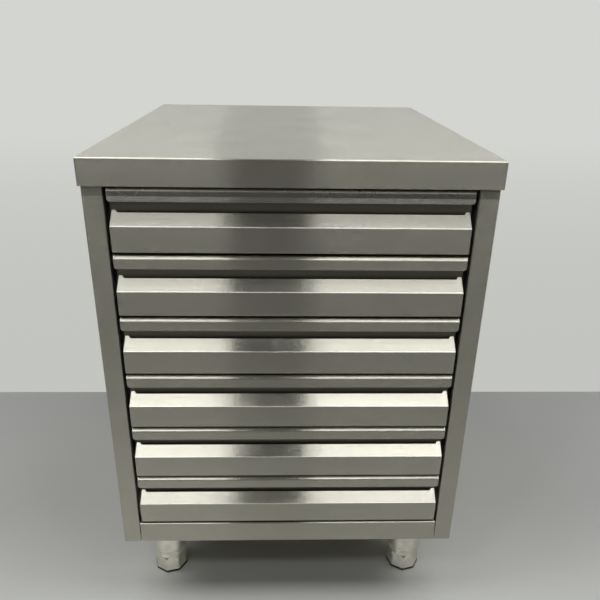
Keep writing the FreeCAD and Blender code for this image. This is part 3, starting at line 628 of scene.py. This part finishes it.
def cup_rings():
    """Up the eight sloping sides, cut round the top by a cone as a nut is, in over the top and
    up the stem's thread, as radii and heights."""
    heights = [PAD_TOP, PAD_TOP, PAD_TOP + 0.0002,
               *np.linspace(PAD_TOP + 0.0006, CUP_TOP - 0.0007, 40)]
    level = np.ones(FOOT_SIDES)
    radii = [0.0 * level, octagon(CUP_FOOT_RADIUS - 0.0002), octagon(CUP_FOOT_RADIUS)]
    for height in heights[3:]:
        rise = (height - PAD_TOP) / (CUP_TOP - PAD_TOP)
        side = octagon(CUP_FOOT_RADIUS + (CUP_TOP_RADIUS - CUP_FOOT_RADIUS) * rise)
        radii.append(np.minimum(side, CONE_RADIUS + (CUP_TOP - height) * CONE_SLOPE))
    rim = octagon(CUP_TOP_RADIUS)
    radii += [np.minimum(rim, CONE_RADIUS - 0.0002), np.minimum(rim, CONE_RADIUS - 0.0006)]
    heights += [CUP_TOP - 0.0003, CUP_TOP]
    screw, rises = thread(STEM_RADIUS, STEM_PITCH, STEM_DEPTH, CUP_TOP + 0.0001, THREAD_TOP,
                          FOOT_SIDES)
    radii += [0.0100 * level, (STEM_RADIUS + 0.0001) * level, *screw, 0.0060 * level, 0.0 * level]
    heights += [CUP_TOP, CUP_TOP, *rises[:, 0], STEM_TOP, STEM_TOP]
    return np.array(radii), np.array(heights)[:, None]


def pad_rings():
    """An eight-sided slab with its edges broken, as radii and heights."""
    heights = [0.0, 0.0, 0.0005, PAD_TOP - 0.0003, PAD_TOP + 0.0001, PAD_TOP + 0.0001]
    radii = [octagon(corner) for corner in (0.0, 0.0318, 0.0325, 0.0326, 0.0322, 0.0)]
    return np.array(radii), np.array(heights)[:, None]


cup_finish = polished_tube("foot_steel_finish")
pad_finish = black_plastic("black_plastic_base")
for row, side in CORNERS:
    spot, turn = corner_spot(row, side), FOOT_TURN[row, side]
    add_piece(f"foot_cup_{row}_{side}", ringed(spot, *cup_rings(), turn=turn), cup_finish,
              f"foot_{row}_{side}_screw", "foot_steel", f"foot_{row}_{side}")
    add_piece(f"foot_base_{row}_{side}", ringed(spot, *pad_rings(), turn=turn), pad_finish,
              f"foot_{row}_{side}_screw", "black_plastic", f"foot_pad_{row}_{side}")


# Nuts inside the body that hold the legs' studs: plain stainless, never polished.

dress(["leg_nuts"], mill_steel("nut_steel", roughness=0.34))


# Studio: a grey floor that turns pale behind the cabinet, lit by soft boxes on an arc that
# faces the drawers, with a dark gap down its middle, by two boxes overhead and by two keys.

FLOOR_EDGE = 0.415
BACKDROP = (0.655, 0.665, 0.640, 1.0)


def studio_floor():
    """Grey in front and self-lit behind, with a painted pool of light: paler in front of the
    cabinet than under and beside it. For glossy rays a dim painted reflection takes its place,
    more towards the front and to the right."""
    finish = new_finish("studio_floor")
    place = finish.coordinate("Y")
    behind = finish.step(place, FLOOR_EDGE - 0.001, FLOOR_EDGE + 0.001)
    depth = finish.step(place, FLOOR_EDGE, 6.0)
    pale = finish.mix(depth, (0.545, 0.555, 0.530, 1.0), BACKDROP)
    mottled = finish.noise((3.0, 3.0, 3.0), detail=3.0)
    grey = finish.mix(mottled, (0.375, 0.375, 0.358, 1.0), (0.415, 0.415, 0.396, 1.0))
    # Painted pool of light: the floor is paler in front of the cabinet than under and beside it.
    grey = finish.mix(finish.step(place, -0.45, -0.02), (0.54, 0.54, 0.514, 1.0), grey)
    finish.set(base_color=grey, roughness=0.42)
    seen = finish.node("ShaderNodeLightPath", {}, {}, output="Is Camera Ray")
    glow = finish.node("ShaderNodeEmission", {}, {"Color": pale, "Strength": 1.0})
    matt = Field(finish, finish.shader.outputs[0])
    both = finish.node("ShaderNodeMixShader", {}, {0: behind * seen, 1: matt, 2: glow})
    # Painted reflection: for glossy rays a dim emission replaces the floor, towards the front and
    # the right.
    right = finish.step(finish.coordinate("X"), -0.25, 0.1)
    near = finish.step(place, -1.7, 0.1) * (1 - right * 0.25)
    mirrored = finish.node("ShaderNodeLightPath", {}, {}, output="Is Glossy Ray")
    painted_reflection = finish.node("ShaderNodeEmission", {},
                      {"Color": (0.12, 0.12, 0.115, 1.0), "Strength": 1.0})
    both = finish.node("ShaderNodeMixShader", {}, {0: (1 - near) * mirrored, 1: both, 2: painted_reflection})
    finish.feed(finish.tree.nodes["Material Output"].inputs["Surface"], both)
    bpy.ops.mesh.primitive_plane_add(size=60.0)
    floor = bpy.context.object
    floor.name = "studio_floor"
    floor.data.materials.append(finish.owner)


def studio_world():
    """Pale all round for the camera; for the metal pale behind and above, dimmer in front."""
    finish = Finish(bpy.data.worlds.new("studio_world"))
    bpy.context.scene.world = finish.owner
    direction = finish.node("ShaderNodeTexCoord", {}, {}, output="Generated")
    ahead = finish.node("ShaderNodeSeparateXYZ", {}, {0: direction}, output="Y")
    up = finish.node("ShaderNodeSeparateXYZ", {}, {0: direction}, output="Z")
    wall = finish.mix(finish.step(up, 0.06, 0.20), (0.50, 0.505, 0.49, 1.0),
                      (0.66, 0.665, 0.645, 1.0))
    room = finish.mix(finish.step(ahead, -0.6, 0.5), (0.08, 0.08, 0.075, 1.0), wall)
    seen = finish.node("ShaderNodeLightPath", {}, {}, output="Is Camera Ray")
    glossy = finish.node("ShaderNodeLightPath", {}, {}, output="Is Glossy Ray")
    colour = finish.mix(glossy, (0.08, 0.08, 0.078, 1.0), room)
    colour = finish.mix(seen, colour, BACKDROP)
    background = finish.tree.nodes["Background"]
    finish.feed(background.inputs["Color"], colour)
    background.inputs["Strength"].default_value = 1.0


def softbox(name, centre, size, glow, tilt=0.0):
    """A light of one even glow that faces down, or is tilted up to face the cabinet by so many
    degrees; its power is the glow times pi times its area."""
    light = bpy.data.lights.new(name, "AREA")
    light.shape = "RECTANGLE"
    light.size, light.size_y = size
    light.energy = glow * math.pi * size[0] * size[1]
    light.color = (0.965, 0.985, 1.0)
    lamp = bpy.data.objects.new(name, light)
    lamp.location = centre
    lamp.rotation_euler = (math.radians(tilt), 0.0, 0.0)
    lamp.visible_camera = False
    bpy.context.scene.collection.objects.link(lamp)
    return lamp


DRAWERS_PLACE = (0.0, -0.336, 0.5)
ARC_REACH = 5.07
ARC_WIDTH = 5.0
ARC_SIDES = (("left", -3.08, 0.10), ("right", 2.83, -0.07))
ARC_ROWS = (("low", 27.0, 1.55, 3.3, 1.0), ("middle", 40.5, 0.80, 1.65, 0.5),
            ("high", 51.0, 1.05, 0.80, 0.0))
for side, middle, lean in ARC_SIDES:
    for row, degrees, rise, glow, share in ARC_ROWS:
        angle = math.radians(degrees)
        spot = (middle + lean * share, DRAWERS_PLACE[1] - ARC_REACH * math.cos(angle),
                DRAWERS_PLACE[2] + ARC_REACH * math.sin(angle))
        lamp = softbox(f"softbox_{row}_{side}", spot, (ARC_WIDTH, rise), glow, tilt=90.0 - degrees)
        lamp.visible_diffuse = False
for side, middle in (("left", -1.50), ("right", 1.36)):
    softbox(f"softbox_top_{side}", (middle, -0.45, 2.6), (2.4, 1.2), 5.0)
for side, middle, glow in (("left", -1.7, 20.0), ("right", 1.7, 12.0)):
    lamp = softbox(f"key_{side}", (middle, -2.25, 3.15), (0.7, 0.35), glow, tilt=50.0)
    lamp.visible_glossy = False

studio_floor()
studio_world()


# Camera: hand held, looking slightly down at the cabinet from just above its worktop.

CAMERA_PLACE = (-0.0178, -1.1950, 1.0053)
YAW, PITCH, ROLL = 1.87, 23.345, 0.96
camera = bpy.data.cameras.new("camera")
camera.lens = 36.58
camera.sensor_width = 36.0
camera.shift_x, camera.shift_y = 0.00315, -0.00095
viewer = bpy.data.objects.new("camera", camera)
turn = (Matrix.Rotation(math.radians(-YAW), 4, "Z")
        @ Matrix.Rotation(math.radians(90.0 - PITCH), 4, "X")
        @ Matrix.Rotation(math.radians(ROLL), 4, "Z"))
viewer.matrix_world = Matrix.Translation(CAMERA_PLACE) @ turn
bpy.context.scene.collection.objects.link(viewer)
bpy.context.scene.camera = viewer
bpy.context.scene.view_settings.view_transform = "Standard"
